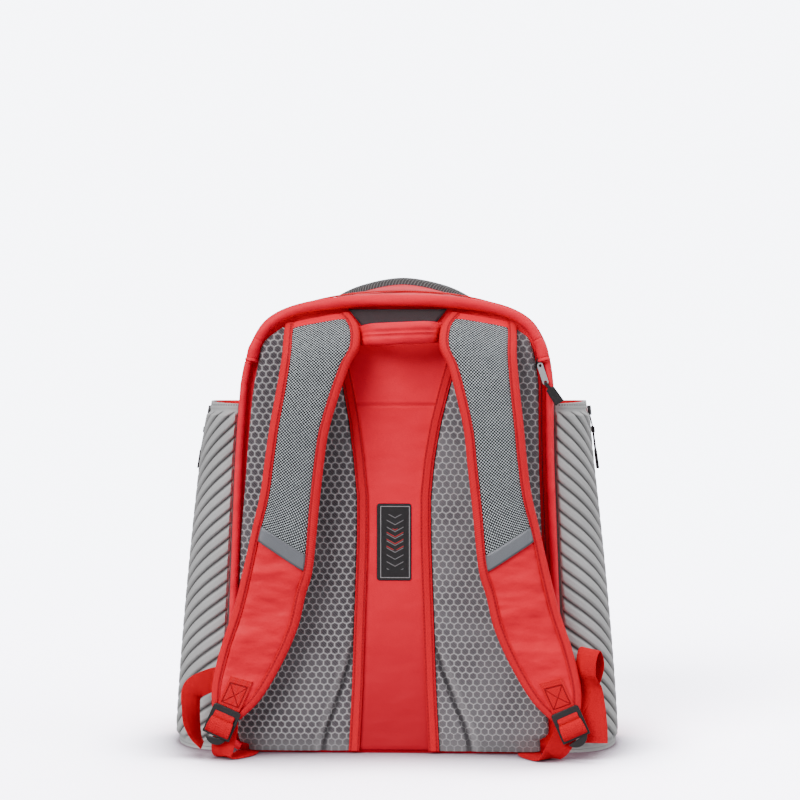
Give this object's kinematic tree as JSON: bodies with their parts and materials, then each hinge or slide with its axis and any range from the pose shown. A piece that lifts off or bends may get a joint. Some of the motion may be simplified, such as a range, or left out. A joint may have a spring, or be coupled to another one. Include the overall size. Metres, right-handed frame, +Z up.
{
  "type": "baseball bat backpack",
  "caption": "Rounded hollow backpack with padded shoulder straps, a haul handle, and a ribbed open-topped sleeve on each side for a bat.",
  "frame": {"origin": "middle of the bounding box's footprint, on the floor the bag stands on", "axes": "+Z up, -Y out of the harness side that the picture shows, +X to that side's right"},
  "size_m": [0.499, 0.2536, 0.5278],
  "materials": {
    "red_tarpaulin": "coated polyester, soft satin",
    "red_tape": "ribbed binding tape",
    "red_webbing": "25 mm woven webbing",
    "grey_moulded": "moulded ribbed coated foam, satin",
    "pad_mesh": "honeycomb air mesh over foam",
    "strap_mesh": "fine two-tone air mesh",
    "dark_mesh": "fine dark mesh",
    "reflective": "grey reflective tape",
    "black_plastic": "moulded acetal, satin",
    "black_cloth": "black woven label and cord",
    "steel": "cast zip puller, satin"
  },
  "bodies": {
    "root": {"body_gusset": "red_tarpaulin", "back_panel": "red_tarpaulin", "front_shell": "grey_moulded", "main_zip_tape": "red_tape", "top_welt": "red_tarpaulin", "side_piping_left": "red_tarpaulin", "side_piping_right": "red_tarpaulin", "back_pad_left": "pad_mesh", "back_pad_right": "pad_mesh", "centre_panel": "red_tarpaulin", "channel_binding_left": "red_tape", "channel_binding_right": "red_tape", "yoke_panel": "dark_mesh", "label_patch": "black_cloth", "haul_handle": "red_tarpaulin", "strap_upper_left": "strap_mesh", "strap_lower_left": "red_tarpaulin", "strap_binding_inner_left": "red_tape", "strap_binding_outer_left": "red_tape", "reflective_strip_left": "reflective", "webbing_tab_left": "red_webbing", "ladder_buckle_left": "black_plastic", "adjust_webbing_left": "red_webbing", "webbing_tail_left": "red_webbing", "strap_upper_right": "strap_mesh", "strap_lower_right": "red_tarpaulin", "strap_binding_inner_right": "red_tape", "strap_binding_outer_right": "red_tape", "reflective_strip_right": "reflective", "webbing_tab_right": "red_webbing", "ladder_buckle_right": "black_plastic", "adjust_webbing_right": "red_webbing", "webbing_tail_right": "red_webbing", "bat_sleeve_left": "grey_moulded", "sleeve_front_left": "red_tarpaulin", "sleeve_foot_left": "grey_moulded", "sleeve_zip_tape_left": "red_tape", "sleeve_zip_slider_left": "black_plastic", "sleeve_zip_pull_left": "black_cloth", "bat_sleeve_right": "grey_moulded", "sleeve_front_right": "red_tarpaulin", "sleeve_foot_right": "grey_moulded", "sleeve_zip_tape_right": "red_tape", "sleeve_zip_slider_right": "black_plastic", "sleeve_zip_pull_right": "black_cloth", "laptop_zip_tape": "red_tape", "laptop_zip_slider": "black_plastic", "laptop_zip_puller": "steel", "laptop_pull_cord": "black_cloth"}
  },
  "joints": []
}
